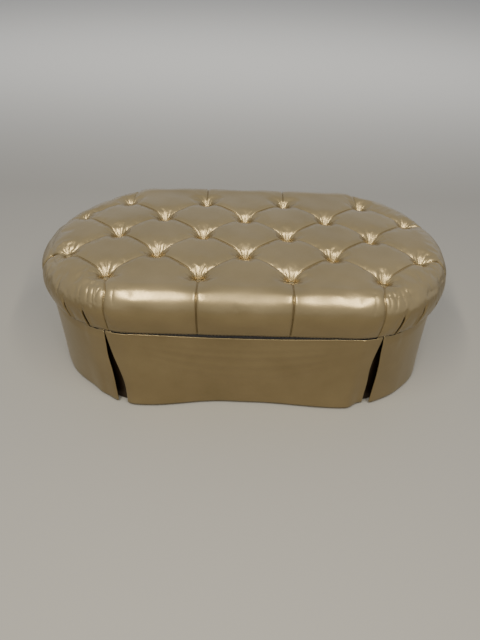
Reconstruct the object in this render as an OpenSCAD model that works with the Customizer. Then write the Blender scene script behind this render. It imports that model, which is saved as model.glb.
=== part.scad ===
// Oval storage ottoman: a button-tufted lid hinged on a skirted box with rounded ends.
// X runs along the length, the front faces -Y, and Z = 0 is the floor. Millimetres.

/* [Overall] */
// Half the length of the straight part between the two rounded ends
straight_half = 330; // [310:5:360]
// Radius of the padded lid's rounded ends at their widest
lid_r = 337; // [335:1:340]
// Height of the top of the lid above the floor
total_h = 470; // [450:1:490]
// Height of the lid's underside above the floor
lid_z = 330; // [320:1:340]

/* [Box] */
// Outer radius of the box's rounded ends
box_r = 312; // [308:1:312]
// Thickness of the box's plywood walls
wall_t = 12; // [9:1:12]
// Height of the underside of the walls above the floor
wall_z = 45; // [40:1:50]
// Thickness of the plywood storage floor
floor_t = 12; // [9:1:12]
// Width of the square posts inside the box
post_w = 38; // [30:1:38]
// Height of the battens that carry the skirt
batten_h = 28; // [22:1:32]

/* [Skirt] */
// Thickness of the lined skirt
skirt_t = 3; // [2:0.5:3]
// Height of the skirt's hem above the floor
hem_z = 6; // [5:1:10]
// Angle round each end, from the front or back, at which the skirt is split by a pleat
pleat_angle = 18; // [12:0.1:20]
// Width of the slit between two skirt panels
slit_w = 4; // [3:0.5:6]
// Width of the backing behind each pleat
backing_w = 130; // [100:5:140]

/* [Lid] */
// Thickness of the lid's plywood board
board_t = 15; // [12:1:18]
// Thickness of the vinyl cover
cover_t = 1.5; // [1:0.1:2]
// Thickness of the batting between the cover and the foam
batting_t = 4; // [3:0.5:5]
// Spacing of the buttons along a row
tuft_x = 280; // [270:1:285]
// Spacing of the rows of buttons
tuft_y = 110; // [105:1:112]
// Depth of the button seats below the top of the lid
tuft_depth = 27; // [20:1:32]
// Radius of a button
button_r = 10; // [9:0.5:12]

/* [Hinges and stays] */
// Distance of the three hinges from each other
hinge_spacing = 230; // [200:5:240]
// Length of one hinge
hinge_l = 80; // [60:5:80]
// Distance from the hinge line to the stay's pivot, and to its stud
stay_r = 130; // [125:1:135]
// Angle of the stay's pivot below the hinge line when the lid is closed
pivot_angle = 5.3; // [5:0.1:6]
// Angle of the stay's stud below the hinge line
stud_angle = 30; // [28:1:32]
// Angle at which the stays stop the lid
open_angle = 85; // [80:1:88]

/* [Hidden] */
$fn = 96;

// Heights of the rim, the lid's layers and the storage floor
rim_t = 1;
lining_t = 1.5;
rim_gap = 5;
rim_z = lid_z - rim_gap;
cover_z = lid_z + lining_t;
board_z = cover_z + cover_t;
floor_z = wall_z + 15;
cleat_w = 20;

// Radii of the rounded ends, from the inside out
inner_r = box_r - wall_t;
batten_t = 12;
skirt_in_r = box_r + batten_t;
skirt_out_r = skirt_in_r + skirt_t;
board_r = lid_r - 22;
flange_r = lid_r - 40;
lid_lining_r = lid_r - 28;

// Lid profile
bottom_round = 18;
shoulder_round = 55;
shoulder_drop = 7;
shoulder_turn = 80;
crown_steps = 6;
foam_off = cover_t + batting_t;

// Tufting
tuft_mouth_r = 38;
twine_r = 1.2;
twine_bore_r = 1.5;
foam_bore_r = 4;
board_bore_r = 3;
washer_r = 8;
button_h = 7;
seat_z = total_h - tuft_depth;
// Half steps along the row of each button, one list per row, from the front row to the back row
tuft_rows = [[-3, -1, 1, 3], [-4, -2, 0, 2, 4], [-3, -1, 1, 3], [-4, -2, 0, 2, 4], [-3, -1, 1, 3]];
tufts = [for (row = [0:len(tuft_rows) - 1]) for (step = tuft_rows[row])
    [step * tuft_x / 2, (row - (len(tuft_rows) - 1) / 2) * tuft_y]];

// Hinges. The hinge line lies just outside the skirt, midway between the leaves.
leaf_t = 1.5;
knuckle_r = 2.9;
pin_r = 1.5;
running = 0.05;
knuckles = 5;
knuckle_play = 0.3;
hinge_y = lid_r - knuckle_r - 0.1;
base_leaf_z = rim_z + rim_t;
lid_leaf_z = lid_z - leaf_t;
hinge_z = (base_leaf_z + lid_z) / 2;
leaf_w = 37;
screw_r = 1.75;
screw_head_r = 3.5;
screw_l = 18;
lid_screw_l = 12;
hinge_screw_y = inner_r + wall_t / 2;
hinge_screw_pitch = 28;

// Lid stays: a slotted arm swings on the lid's bracket and slides on the box's stud.
// The pivot and the stud are equally far from the hinge line, so the arm always turns half as
// far as the lid, and the stud stays on the slot's centre line.
stay_x = straight_half - post_w / 2;
plate_t = 2.5;
stay_gap = 0.5;
arm_w = 16;
stud_r = 3;
stud_play = 0.4;
rivet_r = 2.5;
stay_head_r = 5.5;
stay_head_t = 2;
pivot_yz = [hinge_y - stay_r * cos(pivot_angle), hinge_z - stay_r * sin(pivot_angle)];
stud_yz = [hinge_y - stay_r * cos(stud_angle), hinge_z - stay_r * sin(stud_angle)];
stud_near = 2 * stay_r * sin((stud_angle - pivot_angle) / 2);
stud_far = 2 * stay_r * sin((stud_angle - pivot_angle + open_angle) / 2);
arm_angle = atan2(stud_yz[1] - pivot_yz[1], stud_yz[0] - pivot_yz[0]);
plate_w = 34;
plate_screw_y = inner_r - post_w / 2;
pan_head_r = 4;
pan_head_t = 2;
bracket_w = 40;
bracket_d = 26;
bracket_screw_x = stay_x + 14;
bracket_screw_dy = 12;

// Feet
foot_r = 25;
glide_h = 5;
glide_r = 12;
bolt_r = 3;
bolt_low = 20;
bolt_high = wall_z + 30;
post_mid = inner_r - post_w / 2;
posts = [for (sx = [-1, 1]) for (sy = [-1, 1]) [sx * straight_half, sy * post_mid],
    for (sx = [-1, 1]) [sx * (straight_half + post_mid), 0]];

vinyl = [0.52, 0.46, 0.34];
plywood = [0.80, 0.66, 0.45];
timber = [0.72, 0.55, 0.36];
foam_colour = [0.93, 0.88, 0.72];
black_cloth = [0.10, 0.10, 0.10];
steel = [0.72, 0.72, 0.70];
brass_colour = [0.75, 0.62, 0.35];
far = 2 * (straight_half + lid_r);

// ---- Plan outlines ----

// The oval plan: a rectangle between two round ends of radius r
module oval(r) {
    square([2 * straight_half, 2 * r], center = true);
    for (side = [-1, 1]) translate([side * straight_half, 0]) circle(r);
}

module oval_ring(r_out, r_in) {
    difference() {
        oval(r_out);
        oval(r_in);
    }
}

module oval_plate(r, z, t) {
    translate([0, 0, z]) linear_extrude(t) oval(r);
}

// A direction round the +X end, given by its angle from the front (negative Y), as a far point
function far_point(angle) = [straight_half + far * sin(angle), -far * cos(angle)];

// The part of the plan between two angles round one end
module end_mask(side, from, to) {
    middle = (from + to) / 2;
    mirror([side < 0 ? 1 : 0, 0])
        polygon([[straight_half, 0], far_point(from), far_point(middle), far_point(to)]);
}

// The part of the plan in front of (side -1) or behind (side 1) the pleats
module long_side_mask(side, angle) {
    mirror([0, side > 0 ? 1 : 0])
        polygon([[-straight_half, 0], [-far_point(angle)[0], far_point(angle)[1]],
            far_point(angle), [straight_half, 0]]);
}

// A length along the skirt, as an angle round an end
function skirt_angle(length) = length / skirt_out_r * 180 / PI;

// ---- Box ----

module long_panel(side) {
    color(plywood) difference() {
        translate([-straight_half, side > 0 ? inner_r : -box_r, wall_z])
            cube([2 * straight_half, wall_t, rim_z - wall_z]);
        if (side > 0) hinge_screw_bores(rim_z, -screw_l, screw_r);
    }
}

module end_panel(side) {
    color(plywood) translate([0, 0, wall_z]) linear_extrude(rim_z - wall_z)
        intersection() {
            oval_ring(box_r, inner_r);
            translate([side > 0 ? straight_half : -straight_half - far, -far / 2]) square(far);
        }
}

// Posts are trimmed to the box's inside, so they bear on the wall all the way down
module post(at) {
    color(timber) difference() {
        translate([0, 0, wall_z]) linear_extrude(rim_z - wall_z) post_outline(at);
        translate([at[0], at[1], 0]) cylinder(r = bolt_r, h = bolt_high);
        if (at[1] > 0) stay_plate_bores(at[0] > 0 ? 1 : -1);
    }
}

module post_outline(at) {
    intersection() {
        translate(at) square(post_w, center = true);
        oval(inner_r);
    }
}

module all_posts() {
    for (at = posts) post_outline(at);
}

// The hinge rail thickens the back wall's top edge between the posts
module hinge_rail() {
    color(timber) translate([0, 0, rim_z - post_w]) linear_extrude(post_w) hinge_rail_outline();
}

module hinge_rail_outline() {
    half = straight_half - post_w / 2;
    translate([-half, inner_r - cleat_w]) square([2 * half, cleat_w]);
}

module floor_panel() {
    color(plywood) translate([0, 0, floor_z]) linear_extrude(floor_t) difference() {
        oval(inner_r);
        all_posts();
    }
}

module cleat(side) {
    half = straight_half - post_w / 2;
    color(timber) translate([-half, side > 0 ? inner_r - cleat_w : -inner_r, floor_z - 15])
        cube([2 * half, cleat_w, 15]);
}

module long_batten(side) {
    color(timber) translate([-straight_half, side > 0 ? box_r : -skirt_in_r, rim_z - batten_h])
        cube([2 * straight_half, batten_t, batten_h]);
}

module end_batten(side) {
    color(timber) translate([0, 0, rim_z - batten_h]) linear_extrude(batten_h) intersection() {
        oval_ring(skirt_in_r, box_r);
        translate([side > 0 ? straight_half : -straight_half - far, -far / 2]) square(far);
    }
}

// ---- Skirt ----

module skirt_band() {
    translate([0, 0, hem_z]) linear_extrude(rim_z - hem_z) intersection() {
        oval_ring(skirt_out_r, skirt_in_r);
        children();
    }
}

module long_skirt(side) {
    color(vinyl) skirt_band() long_side_mask(side, pleat_angle - skirt_angle(slit_w) / 2);
}

module end_skirt(side) {
    from = pleat_angle + skirt_angle(slit_w) / 2;
    color(vinyl) skirt_band() end_mask(side, from, 180 - from);
}

module pleat_backing(side_x, side_y) {
    thickness = 2;
    middle = side_y < 0 ? pleat_angle : 180 - pleat_angle;
    half = skirt_angle(backing_w) / 2;
    color(vinyl) translate([0, 0, hem_z + 2]) linear_extrude(rim_z - batten_h - hem_z - 2)
        intersection() {
            oval_ring(box_r + thickness, box_r);
            end_mask(side_x, middle - half, middle + half);
        }
}

// ---- Linings ----

module rim_cover() {
    color(black_cloth) difference() {
        translate([0, 0, rim_z]) linear_extrude(rim_t) oval_ring(skirt_out_r, inner_r);
        hinge_screw_bores(rim_z - 1, 3, screw_r);
    }
}

module wall_lining() {
    thickness = 1;
    bottom = floor_z + floor_t;
    color(black_cloth) difference() {
        translate([0, 0, bottom]) linear_extrude(rim_z - bottom) difference() {
            oval_ring(inner_r, inner_r - thickness);
            all_posts();
        }
        translate([0, 0, rim_z - post_w]) linear_extrude(post_w + 1) hinge_rail_outline();
    }
}

module floor_lining() {
    color(black_cloth) translate([0, 0, floor_z + floor_t]) linear_extrude(1) difference() {
        oval(inner_r - 1);
        all_posts();
    }
}

module bottom_dust_cover() {
    color(black_cloth) translate([0, 0, wall_z - 1]) linear_extrude(1) difference() {
        oval(box_r);
        for (at = posts) translate(at) circle(foot_r + 1);
    }
}

// ---- Feet and bumpers ----

module feet() {
    color(timber) for (at = posts) translate([at[0], at[1], glide_h]) difference() {
        cylinder(r1 = foot_r - 4, r2 = foot_r, h = wall_z - glide_h);
        translate([0, 0, bolt_low - glide_h]) cylinder(r = bolt_r, h = wall_z);
    }
}

module foot_bolts() {
    color(steel) for (at = posts) translate([at[0], at[1], bolt_low])
        cylinder(r = bolt_r, h = bolt_high - bolt_low);
}

module foot_glides() {
    color("dimgray") for (at = posts) translate(at) {
        cylinder(r1 = glide_r - 1.5, r2 = glide_r, h = 1.5);
        translate([0, 0, 1.5]) cylinder(r = glide_r, h = glide_h - 1.5);
    }
}

module rim_bumpers() {
    bumper_r = 5;
    clear = 0.2;
    front_x = 250;
    wall_mid = inner_r + wall_t / 2;
    for (side = [-1, 1]) for (at = [[front_x, -wall_mid], [straight_half + wall_mid, 0]])
        color("black") translate([side * at[0], at[1], rim_z + rim_t])
            cylinder(r = bumper_r, h = rim_gap - rim_t - clear);
}

// ---- Hinges ----

function hinge_x(i) = i * hinge_spacing;

module hinge_screw_bores(z, h, r) {
    for (i = [-1:1]) for (j = [-1:1])
        translate([hinge_x(i) + j * hinge_screw_pitch, hinge_screw_y, h < 0 ? z + h : z])
            cylinder(r = r, h = abs(h) + 0.01, $fn = 48);
}

// One leaf with every other knuckle, from knuckle number first on
module leaf(i, z, first) {
    pitch = hinge_l / knuckles;
    play = knuckle_play / 2;
    color(brass_colour) translate([hinge_x(i), 0, 0]) difference() {
        union() {
            translate([-hinge_l / 2, hinge_y - leaf_w, z])
                cube([hinge_l, leaf_w - knuckle_r - running, leaf_t]);
            for (k = [first:2:knuckles - 1]) translate([-hinge_l / 2 + k * pitch + play, 0, 0]) {
                translate([0, hinge_y, hinge_z]) rotate([0, 90, 0])
                    cylinder(r = knuckle_r, h = pitch - knuckle_play, $fn = 48);
                translate([0, hinge_y - knuckle_r - 1, z])
                    cube([pitch - knuckle_play, knuckle_r + 1, leaf_t]);
            }
        }
        translate([-hinge_l / 2 - 1, hinge_y, hinge_z]) rotate([0, 90, 0])
            cylinder(r = pin_r + running, h = hinge_l + 2, $fn = 48);
        for (j = [-1:1]) translate([j * hinge_screw_pitch, hinge_screw_y, z - 1])
            cylinder(r = screw_r, h = leaf_t + 2, $fn = 48);
        // Countersinks open on the side away from the wood
        for (j = [-1:1]) translate([j * hinge_screw_pitch, hinge_screw_y, z])
            countersink(first == 0 ? 1 : -1);
    }
}

// A countersunk head filling a leaf's thickness, wide end up (way 1) or down (way -1)
module countersink(way) {
    cylinder(r1 = way > 0 ? screw_r : screw_head_r, r2 = way > 0 ? screw_head_r : screw_r,
        h = leaf_t, $fn = 48);
}

module hinge_pins() {
    color(brass_colour) for (i = [-1:1]) translate([hinge_x(i) - hinge_l / 2, hinge_y, hinge_z])
        rotate([0, 90, 0]) cylinder(r = pin_r, h = hinge_l, $fn = 48);
}

module hinge_screws(z, way, length) {
    color(brass_colour) for (i = [-1:1]) for (j = [-1:1])
        translate([hinge_x(i) + j * hinge_screw_pitch, hinge_screw_y, 0]) {
            translate([0, 0, z]) countersink(way);
            translate([0, 0, way > 0 ? z - length : z + leaf_t])
                cylinder(r = screw_r, h = length, $fn = 48);
        }
}

// ---- Lid stays ----

// Turns a plate drawn in the (Y, Z) plane into a solid whose inner face is at x, growing outwards
module side_plate(side, x, t) {
    translate([side > 0 ? x : -x - t, 0, 0]) rotate([90, 0, 90]) linear_extrude(t) children();
}

module stay_pin(side, yz, r, x_head) {
    reach = stay_x - x_head;
    side_plate(side, x_head, reach) translate(yz) circle(r, $fn = 48);
    side_plate(side, x_head, stay_head_t) translate(yz) circle(stay_head_r, $fn = 48);
}

head_x = stay_x - plate_t - stay_gap - plate_t - stay_gap - stay_head_t;

module stay_plate(side) {
    color(steel) difference() {
        union() {
            side_plate(side, stay_x - plate_t, plate_t) {
                translate(stud_yz) circle(plate_w / 2);
                translate([stud_yz[0], stud_yz[1] - plate_w / 2])
                    square([inner_r - stud_yz[0] - 4, plate_w]);
            }
            stay_pin(side, stud_yz, stud_r, head_x);
        }
        stay_plate_bores(side);
    }
}

module stay_plate_bores(side) {
    for (dz = [-1, 1]) side_plate(side, stay_x - plate_t - 1, screw_l)
        translate([plate_screw_y, stud_yz[1] + dz * plate_w / 4]) circle(screw_r, $fn = 48);
}

module stay_plate_screws() {
    color(steel) for (side = [-1, 1]) for (dz = [-1, 1]) {
        at = [plate_screw_y, stud_yz[1] + dz * plate_w / 4];
        side_plate(side, stay_x - plate_t - pan_head_t, pan_head_t)
            translate(at) circle(pan_head_r, $fn = 48);
        side_plate(side, stay_x - plate_t, screw_l - 1) translate(at) circle(screw_r, $fn = 48);
    }
}

module lid_bracket(side) {
    ear_r = 10;
    color(steel) {
        side_plate(side, stay_x - plate_t, plate_t) {
            translate(pivot_yz) circle(ear_r);
            translate([pivot_yz[0] - ear_r, pivot_yz[1]]) square([2 * ear_r, lid_z - pivot_yz[1]]);
        }
        stay_pin(side, pivot_yz, rivet_r, head_x);
        difference() {
            translate([side > 0 ? stay_x - plate_t : -stay_x - bracket_d + plate_t,
                pivot_yz[0] - bracket_w / 2, lid_z - plate_t]) cube([bracket_d, bracket_w, plate_t]);
            lid_bracket_bores(side, screw_r);
        }
    }
}

module lid_bracket_bores(side, r) {
    for (dy = [-1, 1])
        translate([side * bracket_screw_x, pivot_yz[0] + dy * bracket_screw_dy, lid_z - plate_t - 1])
        cylinder(r = r, h = plate_t + 1 + lid_screw_l, $fn = 48);
}

module lid_bracket_screws() {
    color(steel) for (side = [-1, 1]) for (dy = [-1, 1])
        translate([side * bracket_screw_x, pivot_yz[0] + dy * bracket_screw_dy, lid_z - plate_t]) {
            translate([0, 0, -pan_head_t]) cylinder(r = pan_head_r, h = pan_head_t, $fn = 48);
            cylinder(r = screw_r, h = plate_t + lid_screw_l, $fn = 48);
        }
}

// The arm is drawn along +X from its pivot, then laid on the line from the pivot to the stud
module stay_arm(side) {
    slot_r = stud_r + stud_play;
    length = stud_far + 12;
    color(steel) side_plate(side, stay_x - 2 * plate_t - stay_gap, plate_t)
        translate(pivot_yz) rotate(arm_angle) difference() {
            union() {
                circle(arm_w / 2);
                translate([0, -arm_w / 2]) square([length, arm_w]);
                translate([length, 0]) circle(arm_w / 2);
            }
            circle(rivet_r + running, $fn = 48);
            translate([stud_near, -slot_r]) square([stud_far - stud_near, 2 * slot_r]);
            for (s = [stud_near, stud_far]) translate([s, 0]) circle(slot_r, $fn = 48);
        }
}

// ---- Lid ----

function arc(centre, r, from, to, steps) = [for (i = [0:steps])
    let (a = from + (to - from) * i / steps) centre + r * [cos(a), sin(a)]];

// Half the lid's section, from the bottom centre round to the top centre, taken in by off
function lid_section(off) =
    let (shoulder_z = total_h - shoulder_drop - shoulder_round,
        top = arc([lid_r - shoulder_round, shoulder_z], shoulder_round - off, 0, shoulder_turn, 12),
        last = top[len(top) - 1],
        rise = total_h - off - last[1])
    concat([[0, cover_z + off]],
        arc([lid_r - bottom_round, cover_z + bottom_round], bottom_round - off, -90, 0, 8),
        top,
        [for (i = [1:crown_steps]) let (t = i / crown_steps)
            [last[0] * (1 - t), last[1] + rise * (1 - pow(1 - t, 2))]]);

function mirrored(points) = [for (i = [len(points) - 2:-1:1]) [-points[i][0], points[i][1]]];

// The lid's outer form taken in by off, with its button seats
module lid_form(off) {
    section = lid_section(off);
    difference() {
        union() {
            rotate([90, 0, 90]) linear_extrude(2 * straight_half, center = true)
                polygon(concat(section, mirrored(section)));
            for (side = [-1, 1]) translate([side * straight_half, 0, 0])
                rotate_extrude() polygon(section);
        }
        for (at = tufts) translate([at[0], at[1], seat_z - off])
            cylinder(r1 = button_r + 1 + off, r2 = tuft_mouth_r + off, h = tuft_depth + off + 1, $fn = 48);
    }
}

module tuft_bores(r) {
    for (at = tufts) translate([at[0], at[1], cover_z - 1]) cylinder(r = r, h = total_h, $fn = 24);
}

module lid_cover() {
    color(vinyl) difference() {
        lid_form(0);
        lid_form(cover_t);
        oval_plate(flange_r, cover_z - 1, cover_t + 1.01);
        tuft_bores(twine_bore_r);
        hinge_screw_bores(cover_z - 1, 5, screw_r);
    }
}

module lid_batting() {
    color("white") difference() {
        lid_form(cover_t);
        lid_form(foam_off);
        oval_plate(board_r, board_z - 1, board_t + 1);
        tuft_bores(twine_bore_r);
    }
}

module lid_foam() {
    color(foam_colour) difference() {
        lid_form(foam_off);
        oval_plate(board_r, board_z - 1, board_t + 1);
        tuft_bores(foam_bore_r);
    }
}

module lid_board() {
    color(plywood) difference() {
        oval_plate(board_r, board_z, board_t);
        tuft_bores(board_bore_r);
        hinge_screw_bores(board_z - 1, lid_screw_l - lid_board_skin() + 1, screw_r);
        for (side = [-1, 1]) lid_bracket_bores(side, screw_r);
    }
}

// What a hinge screw passes through between its leaf and the board
function lid_board_skin() = board_z - lid_z;

module lid_lining() {
    color(black_cloth) difference() {
        oval_plate(lid_lining_r, lid_z, lining_t);
        hinge_screw_bores(lid_z - 1, 4, screw_r);
        for (side = [-1, 1]) lid_bracket_bores(side, screw_r);
    }
}

module tufting_buttons() {
    dome = arc([0, 0], 1, 0, 90, 8);
    color(vinyl) for (at = tufts) translate([at[0], at[1], seat_z]) rotate_extrude($fn = 48)
        polygon(concat([[0, 0], [button_r - 1, 0], [button_r, 1]],
            [for (p = dome) [p[0] * button_r, 2 + p[1] * (button_h - 2)]]));
}

module button_twines() {
    color("ivory") for (at = tufts) translate([at[0], at[1], board_z])
        cylinder(r = twine_r, h = seat_z - board_z, $fn = 24);
}

module button_washers() {
    color(steel) for (at = tufts) translate([at[0], at[1], cover_z])
        cylinder(r = washer_r, h = cover_t, $fn = 32);
}

long_panel(-1);  // front_panel
long_panel(1);  // back_panel
end_panel(-1);  // left_end_panel
end_panel(1);  // right_end_panel
post(posts[0]);  // front_left_post
post(posts[1]);  // back_left_post
post(posts[2]);  // front_right_post
post(posts[3]);  // back_right_post
post(posts[4]);  // left_end_post
post(posts[5]);  // right_end_post
hinge_rail();
floor_panel();
cleat(-1);  // front_cleat
cleat(1);  // back_cleat
long_batten(-1);  // front_skirt_batten
long_batten(1);  // back_skirt_batten
end_batten(-1);  // left_skirt_batten
end_batten(1);  // right_skirt_batten
long_skirt(-1);  // front_skirt
long_skirt(1);  // back_skirt
end_skirt(-1);  // left_skirt
end_skirt(1);  // right_skirt
pleat_backing(-1, -1);  // front_left_pleat_backing
pleat_backing(1, -1);  // front_right_pleat_backing
pleat_backing(-1, 1);  // back_left_pleat_backing
pleat_backing(1, 1);  // back_right_pleat_backing
rim_cover();
wall_lining();
floor_lining();
bottom_dust_cover();
feet();
foot_bolts();
foot_glides();
rim_bumpers();
leaf(-1, base_leaf_z, 0);  // left_hinge_base_leaf
leaf(0, base_leaf_z, 0);  // middle_hinge_base_leaf
leaf(1, base_leaf_z, 0);  // right_hinge_base_leaf
hinge_screws(base_leaf_z, 1, screw_l);  // hinge_base_screws
stay_plate(-1);  // left_stay_plate
stay_plate(1);  // right_stay_plate
stay_plate_screws();
lid_board();
lid_foam();
lid_batting();
lid_cover();
lid_lining();
tufting_buttons();
button_twines();
button_washers();
leaf(-1, lid_leaf_z, 1);  // left_hinge_lid_leaf
leaf(0, lid_leaf_z, 1);  // middle_hinge_lid_leaf
leaf(1, lid_leaf_z, 1);  // right_hinge_lid_leaf
hinge_pins();
hinge_screws(lid_leaf_z, -1, lid_screw_l);  // hinge_lid_screws
lid_bracket(-1);  // left_lid_bracket
lid_bracket(1);  // right_lid_bracket
lid_bracket_screws();
stay_arm(-1);  // left_stay_arm
stay_arm(1);  // right_stay_arm
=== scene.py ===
import math

import bpy
import numpy as np
from mathutils import Matrix, Vector


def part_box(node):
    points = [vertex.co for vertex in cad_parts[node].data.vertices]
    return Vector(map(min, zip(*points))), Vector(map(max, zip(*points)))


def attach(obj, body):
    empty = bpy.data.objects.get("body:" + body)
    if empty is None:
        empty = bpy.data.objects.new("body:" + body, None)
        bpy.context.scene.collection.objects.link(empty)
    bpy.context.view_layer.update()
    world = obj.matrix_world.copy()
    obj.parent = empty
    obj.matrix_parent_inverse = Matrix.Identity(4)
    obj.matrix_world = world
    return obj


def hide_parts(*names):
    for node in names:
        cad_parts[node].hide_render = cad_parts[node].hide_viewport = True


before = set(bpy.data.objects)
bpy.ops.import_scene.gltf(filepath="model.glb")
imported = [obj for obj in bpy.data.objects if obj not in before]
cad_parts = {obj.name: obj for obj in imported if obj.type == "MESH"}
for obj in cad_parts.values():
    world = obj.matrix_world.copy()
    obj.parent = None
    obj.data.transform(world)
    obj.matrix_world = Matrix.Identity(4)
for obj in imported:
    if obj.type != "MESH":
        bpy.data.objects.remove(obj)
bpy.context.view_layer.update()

# ---- Driving sizes in metres, nearly all from the frame ----

LID_LOW, LID_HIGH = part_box("lid_cover")
LID_R = LID_HIGH.y                       # radius of the lid's rounded ends
HALF = LID_HIGH.x - LID_R                # half the straight part between them
LID_TOP = LID_HIGH.z
LID_BOTTOM = LID_LOW.z
BUTTON_LOW, BUTTON_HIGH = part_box("tufting_buttons")
BUTTON_R = 0.010
TUFT_X = (BUTTON_HIGH.x - BUTTON_R) / 2
TUFT_Y = (BUTTON_HIGH.y - BUTTON_R) / 2
SEAT_Z = BUTTON_LOW.z
SKIRT_LOW, SKIRT_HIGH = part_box("front_skirt")
SKIRT_R = -SKIRT_LOW.y                   # outer radius of the skirt's rounded ends
SKIRT_TOP = SKIRT_HIGH.z
HEM_Z = SKIRT_LOW.z + 0.002
RIM_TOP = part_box("rim_cover")[1].z
BATTEN_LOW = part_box("front_skirt_batten")[0].z
BOX_R = -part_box("front_panel")[0].y
BATTEN_R = -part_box("front_skirt_batten")[0].y

TAU = 2 * math.pi


# ---- Small helpers ----

def smooth(t):
    """0 to 1 with flat ends, for numbers and arrays."""
    t = np.clip(t, 0.0, 1.0)
    return t * t * (3 - 2 * t)


def between(x, low, high):
    """How far x is from low to high, eased."""
    return smooth((x - low) / (high - low))


def waves(u, v, seed, size):
    """Soft irregular noise from -1 to 1 with features of about that size, the same each run."""
    draw = np.random.default_rng(seed)
    count = 9
    total = 0.0
    for _ in range(count):
        angle, phase = draw.uniform(0, TAU, 2)
        length = size * draw.uniform(0.7, 1.6)
        total = total + np.sin(TAU * (u * math.cos(angle) + v * math.sin(angle)) / length + phase)
    return total / (count / 2)


def new_object(name, points, faces, smooth_shading=True):
    """A mesh object in the scene."""
    mesh = bpy.data.meshes.new(name)
    mesh.from_pydata([tuple(p) for p in points], [], [tuple(f) for f in faces])
    mesh.validate()
    if smooth_shading:
        mesh.shade_smooth()
    made = bpy.data.objects.new(name, mesh)
    bpy.context.scene.collection.objects.link(made)
    return made


def segment_distance(points, a, b):
    """Distance of each point from the segment a-b, and its share of the way along."""
    a, b = np.asarray(a, float), np.asarray(b, float)
    along = b - a
    share = np.clip(((points - a) @ along) / (along @ along), 0, 1)
    return np.linalg.norm(points - (a + share[:, None] * along), axis=1), share


# ---- The oval plan ----
# A point of the unrolled cover is (u, v): its nearest point on the middle line from -HALF to HALF,
# and its distance s from that line, measured along the cover and down the lid's side.

def spine(points):
    """For points (u, v): their place on the middle line, the outward direction and the distance."""
    middle = np.clip(points[:, 0], -HALF, HALF)
    out = np.stack([points[:, 0] - middle, points[:, 1]], axis=1)
    s = np.linalg.norm(out, axis=1)
    flat = np.where(points[:, 1] < 0, -1.0, 1.0)
    safe = np.maximum(s, 1e-9)
    direction = np.where(s[:, None] > 1e-9, out / safe[:, None], np.stack([0 * flat, flat], axis=1))
    return middle, direction, s


def on_end(side_x, side_y, degrees, s):
    """The (u, v) point at an angle round an end, measured from the front or back, and a distance s."""
    a = math.radians(degrees)
    return (side_x * (HALF + s * math.sin(a)), side_y * s * math.cos(a))


# ---- The lid's section ----

CROWN_DROP = 0.006
SIDE_SHOULDER = 0.052       # shoulder radius along the straight sides
END_SHOULDER = {-1: 0.099, 1: 0.052}    # and at the tips of the left and the right end
TUCK_R = 0.010              # radius where the side turns under
DROOP = 0.0055              # how far the edge hangs past the rim in front and at the ends
UNDER = 0.020               # how far the cover runs in under the lid
LID_FLOOR = LID_BOTTOM + 0.0005


def lid_section(s, shoulder):
    """Radius and height, and the outward normal's two parts, at a distance s along the section."""
    flat = LID_R - shoulder
    start = math.pi / 2 - np.arctan(2 * CROWN_DROP / flat)
    shoulder_z = LID_TOP - CROWN_DROP - shoulder
    arc = shoulder * start
    side = np.maximum(shoulder_z - (LID_FLOOR + TUCK_R), 0.0)
    tuck = TUCK_R * math.pi / 2
    r = np.minimum(s, flat)
    z = LID_TOP - CROWN_DROP * (r / flat) ** 2 - shoulder * (1 - np.sin(start))
    turn = np.full_like(s, math.pi / 2) - np.arctan(2 * CROWN_DROP * r / flat ** 2)
    on_arc = s > flat
    a = start - np.clip((s - flat) / shoulder, 0, start)
    r = np.where(on_arc, flat + shoulder * np.cos(a), r)
    z = np.where(on_arc, shoulder_z + shoulder * np.sin(a), z)
    turn = np.where(on_arc, a, turn)
    on_side = s > flat + arc
    down = np.clip(s - flat - arc, 0, side)
    z = np.where(on_side, shoulder_z - down, z)
    on_tuck = s > flat + arc + side
    b = np.clip((s - flat - arc - side) / TUCK_R, 0, math.pi / 2)
    r = np.where(on_tuck, LID_R - TUCK_R + TUCK_R * np.cos(b), r)
    z = np.where(on_tuck, LID_FLOOR + TUCK_R - TUCK_R * np.sin(b), z)
    turn = np.where(on_tuck, -b, turn)
    inward = np.maximum(s - flat - arc - side - tuck, 0)
    r = r - inward
    return r, z, np.cos(turn), np.sin(turn)


def lid_shoulder(direction):
    """The shoulder's radius in an outward direction."""
    tip = np.where(direction[:, 0] < 0, END_SHOULDER[-1], END_SHOULDER[1])
    return SIDE_SHOULDER + (tip - SIDE_SHOULDER) * smooth(np.abs(direction[:, 0]) * 1.1)


def section_end(shoulder):
    """The distance along the section at which the cover has turned under."""
    start = math.pi / 2 - np.arctan(2 * CROWN_DROP / (LID_R - shoulder))
    side = LID_TOP - CROWN_DROP - shoulder - LID_FLOOR - TUCK_R
    return LID_R - shoulder + shoulder * start + side + TUCK_R * math.pi / 2


LID_REACH = float(section_end(SIDE_SHOULDER)) + UNDER


# ---- Buttons and folds ----

ROWS = [(-3, -1, 1, 3), (-4, -2, 0, 2, 4), (-3, -1, 1, 3), (-4, -2, 0, 2, 4), (-3, -1, 1, 3)]
TUFTS = [(step * TUFT_X / 2, (row - 2) * TUFT_Y) for row, steps in enumerate(ROWS) for step in steps]

FOLD_ANGLE = 13.3           # where a corner button's fold crosses the shoulder, from the front
END_FOLD_ANGLE = 70.5       # and an end button's


def diagonal_folds():
    """Segments between neighbouring buttons."""
    found = []
    for x, y in TUFTS:
        for step in (-1, 1):
            other = (x + step * TUFT_X / 2, y + TUFT_Y)
            if any(math.dist(other, t) < 1e-6 for t in TUFTS):
                found.append(((x, y), other))
    return found


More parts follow.
